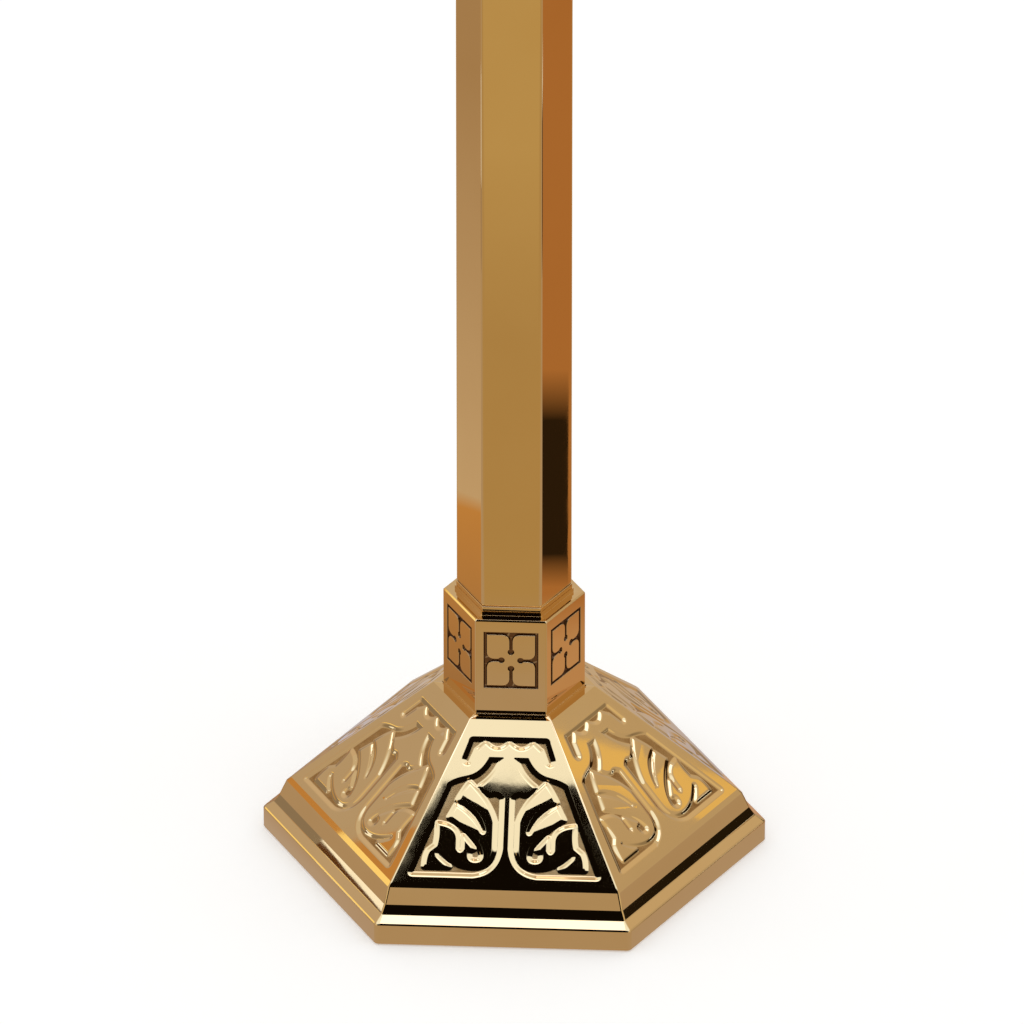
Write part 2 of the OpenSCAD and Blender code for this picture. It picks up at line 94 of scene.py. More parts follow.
def newFinish(name):
    finish = bpy.data.materials.new(name)
    finish.use_nodes = True
    tree = finish.node_tree
    shader = tree.nodes["Principled BSDF"]
    return finish, tree, shader


def addNode(tree, kind, settings=None, **inputs):
    node = tree.nodes.new(kind)
    for key, value in (settings or {}).items():
        setattr(node, key, value)
    for key, value in inputs.items():
        slot = node.inputs[int(key[1:])] if key[0] == "i" and key[1:].isdigit() else node.inputs[key]
        if isinstance(value, bpy.types.NodeSocket):
            tree.links.new(value, slot)
        else:
            slot.default_value = value
    return node


def noiseAt(tree, place, scale, detail=3.0, rough=0.55, stretch=None):
    vector = place
    if stretch:
        vector = addNode(tree, "ShaderNodeMapping", Vector=place, Scale=stretch).outputs[0]
    noise = addNode(tree, "ShaderNodeTexNoise", Vector=vector, Scale=scale, Detail=detail, Roughness=rough)
    return noise.outputs[0]


def spread(tree, value, low, high, fromLow=0.3, fromHigh=0.7):
    return addNode(tree, "ShaderNodeMapRange", i0=value, i1=fromLow, i2=fromHigh, i3=low, i4=high).outputs[0]


def mixColors(tree, share, first, second):
    mix = addNode(tree, "ShaderNodeMix", {"data_type": "RGBA"}, i0=share)
    for slot, value in ((mix.inputs[6], first), (mix.inputs[7], second)):
        if isinstance(value, bpy.types.NodeSocket):
            tree.links.new(value, slot)
        else:
            slot.default_value = (*value, 1)
    return mix.outputs[2]


def mixValues(tree, share, first, second):
    return addNode(tree, "ShaderNodeMix", {"data_type": "FLOAT"}, i0=share, i2=first, i3=second).outputs[0]


brassLook = {  # a noise is its scale, detail, roughness and stretch
    "polished": (0.72, 0.45, 0.16),
    "warm": (0.69, 0.42, 0.14),  # where the lacquer has aged
    "sunk": (0.30, 0.135, 0.028),
    "patina": (0.17, 0.08, 0.028),  # left in the narrow grooves of the collars
    "bare": (0.84, 0.62, 0.32),  # rubbed edges
    "polishedRough": (0.012, 0.03),
    "sunkRough": (0.30, 0.40),
    "sunkFrom": (0.9, 0.985),  # the ground of the relief, not its walls
    "grooveFrom": (1.3, 2.2),
    "edgeFrom": (0.52, 0.6),
    "rub": 0.35,
    "cloud": (18, 4),
    "smudge": (75, 5, 0.6),
    "grain": (2200, 2),
    "hairline": (600, 2, 0.5, (1, 1, 0.06)),
    "wave": (28, 1, 0.4),
    "ripple": 0.01,
    "rippleDepth": 0.002,
    "hairlines": 0.006,
    "hairlineDepth": 0.00005,
    "sandGrain": 0.25,
    "sandDepth": 0.0002,
}


def brassFinish():
    look = brassLook
    finish, tree, shader = newFinish("polishedBrass")
    place = addNode(tree, "ShaderNodeTexCoord").outputs["Object"]
    sunk = addNode(tree, "ShaderNodeAttribute", {"attribute_name": "sunk"}).outputs["Fac"]
    sunkMask = spread(tree, sunk, 0, 1, *look["sunkFrom"])
    grooveMask = spread(tree, sunk, 0, 1, *look["grooveFrom"])
    cloud = noiseAt(tree, place, *look["cloud"])
    smudge = noiseAt(tree, place, *look["smudge"])
    grain = noiseAt(tree, place, *look["grain"])
    hairlines = noiseAt(tree, place, *look["hairline"])
    pointed = addNode(tree, "ShaderNodeNewGeometry").outputs["Pointiness"]
    edge = spread(tree, pointed, 0, 1, *look["edgeFrom"])
    polished = mixColors(tree, spread(tree, cloud, 0, 0.6), look["polished"], look["warm"])
    dull = mixColors(tree, spread(tree, smudge, 0, 0.5), look["sunk"], look["warm"])
    color = mixColors(tree, grooveMask, mixColors(tree, sunkMask, polished, dull), look["patina"])
    rub = addNode(tree, "ShaderNodeMath", {"operation": "MULTIPLY"}, i0=edge, i1=look["rub"]).outputs[0]
    tree.links.new(mixColors(tree, rub, color, look["bare"]), shader.inputs["Base Color"])
    shader.inputs["Metallic"].default_value = 1.0
    bright = spread(tree, smudge, *look["polishedRough"])
    satin = spread(tree, grain, *look["sunkRough"])
    tree.links.new(mixValues(tree, sunkMask, bright, satin), shader.inputs["Roughness"])
    wave = noiseAt(tree, place, *look["wave"])
    ripple = addNode(tree, "ShaderNodeBump", Strength=look["ripple"], Distance=look["rippleDepth"],
                     Height=wave)
    scratch = addNode(tree, "ShaderNodeBump", Strength=look["hairlines"], Distance=look["hairlineDepth"],
                      Height=hairlines, Normal=ripple.outputs[0])
    grit = addNode(tree, "ShaderNodeMath", {"operation": "MULTIPLY"}, i0=sunkMask, i1=look["sandGrain"])
    sand = addNode(tree, "ShaderNodeBump", Strength=grit.outputs[0], Distance=look["sandDepth"],
                   Height=grain, Normal=scratch.outputs[0])
    tree.links.new(sand.outputs[0], shader.inputs["Normal"])
    return finish


metalLooks = {
    "turnedBronze": {
        "light": (0.42, 0.24, 0.11), "dark": (0.30, 0.16, 0.07), "blotch": (45, 4), "rough": (0.22, 0.42),
        "grain": (500, 4, 0.6, (1, 1, 8)), "lines": 0.25, "lineDepth": 0.0001,
    },
    "platedSteel": {
        "light": (0.56, 0.56, 0.58), "dark": (0.42, 0.42, 0.45), "blotch": (45, 4), "rough": (0.25, 0.45),
        "grain": (700, 4, 0.6, (1, 6, 1)), "lines": 0.2, "lineDepth": 0.0001,
    },
}


def metalFinish(name):
    look = metalLooks[name]
    finish, tree, shader = newFinish(name)
    place = addNode(tree, "ShaderNodeTexCoord").outputs["Object"]
    grain = noiseAt(tree, place, *look["grain"])
    blotch = noiseAt(tree, place, *look["blotch"])
    color = mixColors(tree, spread(tree, blotch, 0, 1), look["light"], look["dark"])
    tree.links.new(color, shader.inputs["Base Color"])
    shader.inputs["Metallic"].default_value = 1.0
    tree.links.new(spread(tree, grain, *look["rough"]), shader.inputs["Roughness"])
    lines = addNode(tree, "ShaderNodeBump", Strength=look["lines"], Distance=look["lineDepth"], Height=grain)
    tree.links.new(lines.outputs[0], shader.inputs["Normal"])
    return finish


ironLook = {
    "paint": (0.02, 0.02, 0.022), "worn": (0.05, 0.045, 0.04), "blotch": (30, 4), "rough": (0.45, 0.75),
    "casting": (900, 5, 0.65), "skin": 0.4, "skinDepth": 0.0004,
}


def paintedIronFinish():
    look = ironLook
    finish, tree, shader = newFinish("blackIron")
    place = addNode(tree, "ShaderNodeTexCoord").outputs["Object"]
    casting = noiseAt(tree, place, *look["casting"])
    blotch = noiseAt(tree, place, *look["blotch"])
    color = mixColors(tree, spread(tree, blotch, 0, 1), look["paint"], look["worn"])
    tree.links.new(color, shader.inputs["Base Color"])
    tree.links.new(spread(tree, casting, *look["rough"]), shader.inputs["Roughness"])
    skin = addNode(tree, "ShaderNodeBump", Strength=look["skin"], Distance=look["skinDepth"], Height=casting)
    tree.links.new(skin.outputs[0], shader.inputs["Normal"])
    return finish


feltLook = {
    "dark": (0.012, 0.06, 0.03), "light": (0.03, 0.11, 0.055), "tufts": (160, 4), "rough": (0.85, 1.0),
    "sheen": 0.5, "fibres": (1400, 6, 0.7), "nap": 0.7, "napDepth": 0.0005,
}


def feltFinish():
    look = feltLook
    finish, tree, shader = newFinish("greenFelt")
    place = addNode(tree, "ShaderNodeTexCoord").outputs["Object"]
    fibres = noiseAt(tree, place, *look["fibres"])
    tufts = noiseAt(tree, place, *look["tufts"])
    color = mixColors(tree, spread(tree, tufts, 0, 1), look["dark"], look["light"])
    tree.links.new(color, shader.inputs["Base Color"])
    tree.links.new(spread(tree, fibres, *look["rough"]), shader.inputs["Roughness"])
    shader.inputs["Sheen Weight"].default_value = look["sheen"]
    nap = addNode(tree, "ShaderNodeBump", Strength=look["nap"], Distance=look["napDepth"], Height=fibres)
    tree.links.new(nap.outputs[0], shader.inputs["Normal"])
    return finish


finishes = {
    "polished_brass": brassFinish(),
    "bush_bronze": metalFinish("turnedBronze"),
    "steel": metalFinish("platedSteel"),
    "iron": paintedIronFinish(),
    "felt": feltFinish(),
}
for part in frame["record"]["subparts"]:
    owner = nodes[part["node"]]
    owner.data.materials.clear()
    owner.data.materials.append(finishes[part["material_slot"]])
print("finishes made:", len(finishes))


# swept hexagonal pieces

def quarterHollow(radius, z, inward, rise, rounding, steps=12):
    turns = [math.pi / 2 * k / steps for k in range(steps + 1)]
    return [(radius - inward * math.sin(t), z + rise * (1 - math.cos(t)), rounding) for t in turns]


easing = {
    "sharpest": 25,  # degrees; a flatter corner is left alone
    "longest": 0.4,  # share of the shorter side that a round may take
    "steps": (0, 0.3, 0.7, 1),
}


def easeCorners(profile, ease):  # small rounds in place of the sharp arrises of a closed profile
    eased = []
    for i, here in enumerate(profile):
        before, after = profile[i - 1], profile[(i + 1) % len(profile)]
        p, a, b = (Vector(q[:2]) for q in (here, before, after))
        lead, leave = p - a, b - p
        isCircle = None in (here[2], before[2], after[2])
        if isCircle or lead.angle(leave) < math.radians(easing["sharpest"]):
            eased.append(here)
            continue
        cut = min(ease, easing["longest"] * lead.length, easing["longest"] * leave.length)
        start, end = p - lead.normalized() * cut, p + leave.normalized() * cut
        for t in easing["steps"]:
            q = (1 - t) ** 2 * start + 2 * t * (1 - t) * p + t * t * end
            eased.append((q.x, q.y, here[2]))
    return eased


def hexRing(radius, rounding, arcSteps, sideSteps):  # corners on the X axis, flats on the Y axis
    count = arcSteps + sideSteps
    if rounding is None:  # a round hole with as many points
        turns = [2 * math.pi * (k - arcSteps / 2) / (6 * count) for k in range(6 * count)]
        return [(radius * math.cos(t), radius * math.sin(t)) for t in turns]
    reach = radius - rounding / flatShare

    def cornerPoint(corner, turn):
        c, t = math.radians(corner), math.radians(turn)
        return reach * math.cos(c) + rounding * math.cos(t), reach * math.sin(c) + rounding * math.sin(t)

    ring = []
    for corner in range(0, 360, 60):
        ring += [cornerPoint(corner, corner - 30 + 60 * k / arcSteps) for k in range(arcSteps + 1)]
        here, far = Vector(ring[-1]), Vector(cornerPoint(corner + 60, corner + 30))
        ring += [tuple(here.lerp(far, k / sideSteps)) for k in range(1, sideSteps)]
    return ring


def sweepHexagon(profile, arcSteps=4, sideSteps=1, faceMiddle=None, relief=None, flatFrom=0.5):
    rings = [hexRing(r, rounding, arcSteps, sideSteps) for r, z, rounding in profile]
    count = len(rings[0])
    points = [(x * mm, y * mm, profile[i][1] * mm) for i, ring in enumerate(rings) for x, y in ring]
    sunk, lean = [0.0] * len(points), [(0, 0, 0)] * len(points)
    openRow = None
    if faceMiddle:
        def away(i):
            a, b = profile[i], profile[(i + 1) % len(profile)]
            return math.hypot((a[0] + b[0]) / 2 - faceMiddle[0], (a[1] + b[1]) / 2 - faceMiddle[1])
        openRow = min(range(len(profile)), key=away)
    faces, kinds = [], []
    for i in range(len(profile)):
        up = (i + 1) % len(profile)
        tall = math.hypot(profile[up][0] - profile[i][0], profile[up][1] - profile[i][1]) > flatFrom
        for j in range(count):
            onSide = j % (arcSteps + sideSteps) >= arcSteps
            if i == openRow and onSide:
                continue
            k = (j + 1) % count
            faces.append((i * count + j, i * count + k, up * count + k, up * count + j))
            kinds.append("flat" if tall and onSide else "round")
    if relief:
        foot, top = profile[openRow], profile[(openRow + 1) % len(profile)]
        flatFoot, flatTop = foot[0] * flatShare, top[0] * flatShare
        rise, run = top[1] - foot[1], flatFoot - flatTop
        slope = math.atan2(rise, run)
        outY, outZ = (-math.sin(slope), math.cos(slope)) if rise > 0 else (math.sin(slope), -math.cos(slope))
        halves = [q[0] / 2 - q[2] * math.tan(math.radians(30)) for q in (foot, top)]
        local, triangles = relief(halves[0], halves[1], math.hypot(rise, run), sideSteps)
        up, out = Vector((0, math.cos(slope), math.sin(slope))), Vector((0, outY, outZ))
        foot = Vector((0, -flatFoot, foot[1]))
        for side in range(6):
            turn = Matrix.Rotation(math.radians(60 * side), 3, "Z")
            base = len(points)
            for u, v, w, deep, slopeU, slopeV in local:
                points.append(tuple(turn @ (foot + Vector((u, 0, 0)) + up * v + out * w) * mm))
                lean.append(tuple(turn @ (out - Vector((slopeU, 0, 0)) - up * slopeV).normalized()))
                sunk.append(deep)
            faces += [tuple(base + n for n in triangle) for triangle in triangles]
            kinds += ["relief"] * len(triangles)
    return {"points": points, "faces": faces, "kinds": kinds, "sunk": sunk, "lean": lean}


kindCodes = {"round": 0, "flat": 1, "relief": 2}
sharpAngles = {"round": 40, "flat": 3, "relief": 75}  # an edge that bends more than this stays sharp
weldGap, sliver = 2e-6, 1e-7
normalWeight = 95


def weldAndMark(work):  # flat sides stay flat up to their rounded edges
    kind = work.faces.layers.int["kind"]
    bmesh.ops.remove_doubles(work, verts=work.verts, dist=weldGap)
    bmesh.ops.dissolve_degenerate(work, edges=work.edges, dist=sliver)
    bmesh.ops.recalc_face_normals(work, faces=work.faces)
    for face in work.faces:
        face.smooth = True
    for edge in work.edges:
        if len(edge.link_faces) == 2:
            low, high = sorted(face[kind] for face in edge.link_faces)
            between = "relief" if low == kindCodes["relief"] else "flat" if high else "round"
            edge.smooth = edge.calc_face_angle(0) < math.radians(sharpAngles[between])


def setNormals(mesh):  # mirror-true shading: flats from their planes, relief from its own slopes
    faceCount, loopCount = len(mesh.polygons), len(mesh.loops)
    kind, sizes = np.zeros(faceCount, int), np.zeros(faceCount, int)
    plane, lean = np.zeros(faceCount * 3), np.zeros(len(mesh.vertices) * 3)
    owner = np.zeros(loopCount, int)
    mesh.attributes["kind"].data.foreach_get("value", kind)
    mesh.attributes["lean"].data.foreach_get("vector", lean)
    mesh.polygons.foreach_get("loop_total", sizes)
    mesh.polygons.foreach_get("normal", plane)
    mesh.loops.foreach_get("vertex_index", owner)
    kind, plane = np.repeat(kind, sizes), np.repeat(plane.reshape(-1, 3), sizes, axis=0)
    lean = lean.reshape(-1, 3)[owner]
    shaped = (kind == kindCodes["relief"]) & (np.linalg.norm(lean, axis=1) > 0.5)
    normals = np.where(shaped[:, None], lean, plane)
    normals[kind == kindCodes["round"]] = 0  # left to the smooth shading
    mesh.normals_split_custom_set(normals.tolist())


def makePiece(name, shell, body, slot, *replaced):
    points, faces = shell["points"], shell["faces"]
    mesh = bpy.data.meshes.new(name)
    mesh.from_pydata(points, [], faces)
    sunk = shell.get("sunk", [0.0] * len(points))
    mesh.attributes.new("sunk", "FLOAT", "POINT").data.foreach_set("value", sunk)
    codes = [kindCodes[kind] for kind in shell.get("kinds", ["round"] * len(faces))]
    mesh.attributes.new("kind", "INT", "FACE").data.foreach_set("value", codes)
    lean = np.array(shell.get("lean", [(0, 0, 0)] * len(points)), float)
    mesh.attributes.new("lean", "FLOAT_VECTOR", "POINT").data.foreach_set("vector", lean.ravel())
    work = bmesh.new()
    work.from_mesh(mesh)
    weldAndMark(work)
    work.to_mesh(mesh)
    work.free()
    piece = bpy.data.objects.new(name, mesh)
    scene.collection.objects.link(piece)
    mesh.materials.append(finishes[slot])
    if max(codes) > 0:
        setNormals(mesh)
    else:
        weigh = piece.modifiers.new("weighted normals", "WEIGHTED_NORMAL")
        weigh.keep_sharp, weigh.weight = True, normalWeight
    for spent in ("kind", "lean"):
        mesh.attributes.remove(mesh.attributes[spent])
    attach(piece, body)
    if replaced:
        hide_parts(*replaced)
    return piece


# relief sunk into flat faces

carving = {
    "fanFrom": 25, "fanStep": 15,  # degrees: a corner that bends more gets a fan of rows, this far apart
    "leastCosine": 0.3, "rimGap": 0.3, "thinBelow": -1.0, "reach": 0.2, "batch": 400,
}


def bendPoint(a, lean, b, t):
    return (1 - t) ** 2 * a + 2 * t * (1 - t) * lean + t * t * b


def tracePath(path, step):  # closed; an entry is [point] for a straight stretch or [lean, point] for a curve
    traced = []
    for i, entry in enumerate(path):
        start, end = Vector(path[i - 1][-1]), Vector(entry[-1])
        lean = Vector(entry[0]) if len(entry) == 2 else (start + end) / 2
        count = max(1, round(((lean - start).length + (end - lean).length) / step))
        traced += [bendPoint(start, lean, end, k / count) for k in range(1, count + 1)]
    return np.array([tuple(p) for p in traced])


def mirrorPath(points):
    return points[::-1] * (-1, 1)


def reliefRows(loop, isIsland):  # each point of a traced outline with its normals into the sunk ground
    ahead = np.roll(loop, -1, axis=0) - loop
    area = np.sum(loop[:, 0] * np.roll(loop[:, 1], -1) - loop[:, 1] * np.roll(loop[:, 0], -1))
    inward = np.stack([-ahead[:, 1], ahead[:, 0]], axis=1) / np.linalg.norm(ahead, axis=1)[:, None]
    inward *= np.sign(area) * (-1 if isIsland else 1)
    rows, means = [], []
    for i, p in enumerate(loop):
        first, second = inward[i - 1], inward[i]
        bend = math.degrees(math.acos(max(-1, min(1, float(first @ second)))))
        mean = (first + second) / max(1e-9, float(np.linalg.norm(first + second)))
        means.append(mean)
        rows.append((p, mean / max(carving["leastCosine"], math.cos(math.radians(bend / 2)))))
        if bend > carving["fanFrom"]:
            fan = int(bend // carving["fanStep"]) + 1
            for k in range(fan + 1):
                n = first + (second - first) * k / fan
                rows.append((p, n / max(1e-9, float(np.linalg.norm(n)))))
    return rows, means


def distanceTo(points, starts, ends):
    best = np.full(len(points), 1e9)
    along = ends - starts
    square = np.maximum((along ** 2).sum(1), 1e-12)
    batch = carving["batch"]
    for start in range(0, len(points), batch):
        p = points[start:start + batch, None, :]
        t = np.clip(((p - starts) * along).sum(2) / square, 0, 1)
        gap = p - (starts + t[..., None] * along)
        best[start:start + batch] = np.sqrt((gap ** 2).sum(2).min(1))
    return best


def slopeOf(levels, i):  # how steeply the ground falls at one level of the wall
    if i in (0, len(levels) - 1):
        return 0.0
    (d0, h0), (d2, h2) = levels[i - 1], levels[i + 1]
    return 0.0 if levels[i][1] in (h0, h2) else (h2 - h0) / (d2 - d0)


def sunkRelief(outlines, look):  # returns what sweepHexagon calls to fill one side
    levels = look["levels"]
    falls = [slopeOf(levels, i) for i in range(len(levels))]
    arris = next(i for i, (d, h) in enumerate(levels) if d == 0)

    def bendDown(u, v):
        return look["droop"](u, v) if "droop" in look else 0.0

    def fill(footHalf, topHalf, length, sideSteps):
        starts = np.concatenate([loop for loop, island in outlines])
        ends = np.concatenate([np.roll(loop, -1, axis=0) for loop, island in outlines])
        flat, height, slopes, edges = [], [], [], []
        corners = [(-footHalf, 0), (footHalf, 0), (topHalf, length), (-topHalf, length)]
        for i in (0, 2):
            a, b = Vector(corners[i]), Vector(corners[i + 1])
            flat += [tuple(a.lerp(b, k / sideSteps)) for k in range(sideSteps + 1)]
        rim = len(flat)
        edges += [(i, (i + 1) % rim) for i in range(rim)]
        height += [0.0] * rim
        slopes += [(0.0, 0.0)] * rim
        rows = []
        for loop, island in outlines:
            base = len(flat)
            offsets, means = reliefRows(loop, island)
            rows += offsets
            flat += [tuple(p) for p in loop]
            height += [levels[arris][1]] * len(loop)
            slopes += [tuple(falls[arris] * n) for n in means]
            edges += [(base + i, base + (i + 1) % len(loop)) for i in range(len(loop))]
        for (d, h), fall in zip(levels, falls):
            if d == 0:
                continue
            used = rows[::look["skip"] if d < carving["thinBelow"] else 1]
            tried = np.array([p + n * d for p, n in used])
            off = np.abs(distanceTo(tried, starts, ends) - abs(d))
            inside = (tried[:, 1] > carving["rimGap"]) & (tried[:, 1] < length - carving["rimGap"])
            for k in np.nonzero((off < look["slack"]) & inside)[0]:
                n = used[k][1]
                flat.append(tuple(tried[k]))
                height.append(h)
                slopes.append(tuple(fall * n / np.linalg.norm(n)))
        made = geometry.delaunay_2d_cdt([Vector(p) for p in flat], edges, [], 0, 1e-4)
        local, reach = [], carving["reach"]
        for p, sources in zip(made[0], made[3]):
            h = height[sources[0]] if sources else levels[arris][1]
            slopeU, slopeV = slopes[sources[0]] if sources else (0.0, 0.0)
            raised, deep = 1 + h / look["depth"], -h / look["depth"] * look["stain"]
            slopeU -= raised * (bendDown(p.x + reach, p.y) - bendDown(p.x - reach, p.y)) / (2 * reach)
            slopeV -= raised * (bendDown(p.x, p.y + reach) - bendDown(p.x, p.y - reach)) / (2 * reach)
            local.append((p.x, p.y, h - raised * bendDown(p.x, p.y), deep, slopeU, slopeV))
        return local, [tuple(face) for face in made[2]]

    return fill


# base casting

castBase = {
    "stepRadius": 127.0, "rimFoot": 0.8, "stepTop": 12.4, "stepBevel": 0.8, "stepRound": 3.0,
    "lowBevelHeight": 2.85, "lowBevelWidth": 4.7, "highBevelHeight": 4.35, "highBevelWidth": 2.9,
    "bandHeight": 8.2, "bandLean": 3.6, "quirk": 0.9, "footStrip": 1.2, "mouldRound": 1.4, "ease": 0.35,
    "panelHeight": 59.5, "panelTop": 40.7, "hipRound": 1.0,
    "boreRadius": 17.1, "crown": 12.0, "cavityRadius": 108.1, "cavityBend": 26.7, "ceilingRadius": 44.0,
    "plateHole": 122.0, "rimSeat": 4.0, "cavityRound": 1.0, "rimRound": 0.5, "arcSteps": 4,
}

leafField = [
    [(9.4, 66.8)],
    [(13, 58.8), (20, 57)],
    [(27.5, 55.3), (29.6, 53)],
    [(47.2, 8)],
    [(48.2, 5.5), (45.5, 5.5)],
    [(16, 5.5)],
    [(3.5, 7), (2, 20.5)],
    [(2, 46.5)],
    [(5, 50), (8, 48.6)],
    [(11, 48.4), (13.6, 52.4)],
    [(6, 58), (3.2, 66.8)],
]
leafBody = [
    [(8.5, 43.5), (6, 34)],
    [(6, 20.5)],
    [(6, 10.6), (16, 10.6)],
    [(24, 10.6), (32.8, 18)],
    [(35.2, 18), (33.8, 15.5)],
    [(31, 12.5), (28, 10.4)],
    [(40, 10.4)],
    [(39.9, 16), (38.2, 18.5)],
    [(34.8, 21.3)],
    [(33.6, 26), (34.2, 32.5)],
    [(24.6, 31.5), (24, 25)],
    [(24, 20)],
    [(22.6, 17), (21.2, 20)],
    [(21.2, 26)],
    [(15.9, 20)],
    [(18.4, 19.3), (18.2, 16.8)],
    [(18.2, 13.5), (14.9, 13.5)],
    [(11.6, 13.5), (11.6, 16.8)],
    [(13, 26.5), (28.4, 36)],
    [(25.3, 42)],
    [(17, 37), (12.3, 28.5)],
    [(11, 27.4), (10.8, 29.2)],
    [(13.5, 41), (24.5, 44.8)],
    [(22.6, 49), (19, 54)],
]
bracketHalf = [
    [(0, 77.3)],
    [(18, 77.3)],
    [(19.6, 77.3), (20, 75)],
    [(22.9, 66.5)],
    [(23.4, 63), (20.2, 63.2)],
    [(18.6, 63.5), (17.9, 66)],
    [(15.9, 71)],
    [(14.5, 72), (11.9, 74.7)],
    [(6, 68.2), (0, 74.7)],
]
leafLook = {
    "depth": 0.8, "lower": 1.76, "step": 0.7, "skip": 2, "slack": 0.03, "stain": 1.0,
    "levels": [  # distance into the sunk ground, height
        (-3.3, 0), (-2.5, 0), (-1.7, 0), (-0.9, 0), (-0.6, -0.019), (-0.3, -0.07), (0, -0.146),
        (0.35, -0.257), (0.7, -0.382), (1.05, -0.508), (1.4, -0.624),
        (1.75, -0.719), (2.1, -0.781), (2.4, -0.8),
    ],
}
lobes = [  # each lobe rolls down towards its tip: way of the roll, start, growth and the lines that bound it
    {
        "way": (-0.508, 0.861), "start": 29.3, "growth": 0.0105,
        "bounds": [
            ((0.731, -0.684), -11.9), ((-0.707, 0.707), 25.8),
            ((0.858, 0.513), 46.0), ((-1.0, 0.0), -5.0),
        ],
    },
    {
        "way": (-0.411, 0.912), "start": 20.4, "growth": 0.0105,
        "bounds": [((-0.731, 0.684), 11.9), ((0.888, 0.459), 43.5), ((-1.0, 0.0), -4.0)],
    },
]


def leafOutlines():
    field, leaf = tracePath(leafField, leafLook["step"]), tracePath(leafBody, leafLook["step"])
    half = tracePath(bracketHalf, leafLook["step"])
    half = half[half[:, 0] > 1e-6]
    top, foot = (np.array([bracketHalf[i][-1]]) for i in (0, -1))  # on the panel's middle line
    bracket = np.concatenate([half, foot, mirrorPath(half), top])
    outlines = [
        (field, False), (leaf, True),
        (mirrorPath(field), False), (mirrorPath(leaf), True),
        (bracket, False),
    ]
    return [(loop - (0, leafLook["lower"]), island) for loop, island in outlines]


def lobeDroop(u, v):
    here = Vector((abs(u), v + leafLook["lower"]))
    for lobe in lobes:
        past = here.dot(Vector(lobe["way"])) - lobe["start"]
        if past > 0 and all(here.dot(Vector(way)) < reach for way, reach in lobe["bounds"]):
            return lobe["growth"] * past ** 2 / 2
    return 0.0


def castBaseProfile():
    c = castBase
    bevelFoot = c["stepRadius"] - c["stepBevel"]
    bevelMiddle = bevelFoot - c["lowBevelWidth"]
    bandFoot = bevelMiddle - c["highBevelWidth"]
    bandTop = bandFoot - c["bandLean"]
    panelFoot = bandTop - c["quirk"]
    zMiddle = c["stepTop"] + c["lowBevelHeight"]
    zBand = zMiddle + c["highBevelHeight"]
    zQuirk = zBand + c["bandHeight"]
    zPanel = zQuirk + c["quirk"]
    zCrown = zPanel + c["panelHeight"]
    stripTop = panelFoot - c["footStrip"] * (panelFoot - c["panelTop"]) / c["panelHeight"]
    step, mould, hip = c["stepRound"], c["mouldRound"], c["hipRound"]
    cavity, rim = c["cavityRound"], c["rimRound"]
    outside = [
        (c["stepRadius"], c["rimFoot"], step),
        (c["stepRadius"], c["stepTop"] - c["stepBevel"], step),
        (bevelFoot, c["stepTop"], step),
        (bevelMiddle, zMiddle, mould),
        (bandFoot, zBand, mould),
        (bandTop, zQuirk, mould),
        (stripTop, zPanel + c["footStrip"], hip),
        (c["panelTop"], zCrown, hip),
    ]
    inside = [
        (c["boreRadius"], zCrown, None),
        (c["boreRadius"], zCrown - c["crown"], None),
        (c["ceilingRadius"], zCrown - c["crown"], cavity),
        (c["cavityRadius"], c["cavityBend"], cavity),
        (c["cavityRadius"], c["rimSeat"], cavity),
        (c["plateHole"], c["rimSeat"], rim),
        (c["plateHole"], c["rimFoot"], rim),
    ]
    panelMiddle = ((stripTop + c["panelTop"]) / 2, (zPanel + zCrown) / 2)
    return easeCorners(outside + inside, c["ease"]), panelMiddle


leafLook["droop"] = lobeDroop
profile, middle = castBaseProfile()
relief = sunkRelief(leafOutlines(), leafLook)
shell = sweepHexagon(profile, castBase["arcSteps"], faceMiddle=middle, relief=relief)
makePiece("castBase", shell, "stand", "polished_brass", "base_casting")
print("base casting swept:", len(profile), "profile points")


# collars with their four-petal panels

collarLook = {
    "radius": 35.6, "footFlare": 0.7, "footBead": 0.9, "face": 53.3, "shoulderBevel": 0.8, "neck": 2.0,
    "topRadius": 29.9, "edgeRound": 0.8, "ease": 0.06, "boreRadius": 17.1,
    "flangeBore": 21.6, "flangeSeat": 3.5, "arcSteps": 6,
}
petalLook = {
    "width": 27.4, "height": 32.6, "drop": 6.0, "groove": 1.7, "gap": 1.7, "cornerRound": 4.0, "bulbAt": 4.8,
    "bulbRadius": 1.7, "bulbSteps": 8, "depth": 1.2, "step": 0.3, "skip": 1, "slack": 0.02, "stain": 12.0,
    "levels": [(-0.15, 0.0), (0, -0.05), (0.15, -0.3), (0.3, -0.8), (0.42, -1.12), (0.55, -1.2)],
}


def petalQuarter():  # upper right petal, from the mouth of the right-hand groove to that of the upper one
    p = petalLook
    side, r = p["gap"] / 2, p["cornerRound"]
    reachX, reachY = p["width"] / 2 - p["groove"], p["height"] / 2 - p["groove"]
    mouth = p["bulbAt"] + math.sqrt(p["bulbRadius"] ** 2 - side ** 2)
    path = [
        [(mouth, side)],
        [(reachX - r, side)],
        [(reachX, side), (reachX, side + r)],
        [(reachX, reachY)],
        [(side + r, reachY)],
        [(side, reachY), (side, reachY - r)],
        [(side, mouth)],
    ]
    traced = tracePath(path, p["step"])
    start = int(np.argmin(np.hypot(traced[:, 0] - mouth, traced[:, 1] - side)))
    return traced[start:]


def turnBetween(a, b):  # the shorter way round
    return (b - a + math.pi) % (2 * math.pi) - math.pi


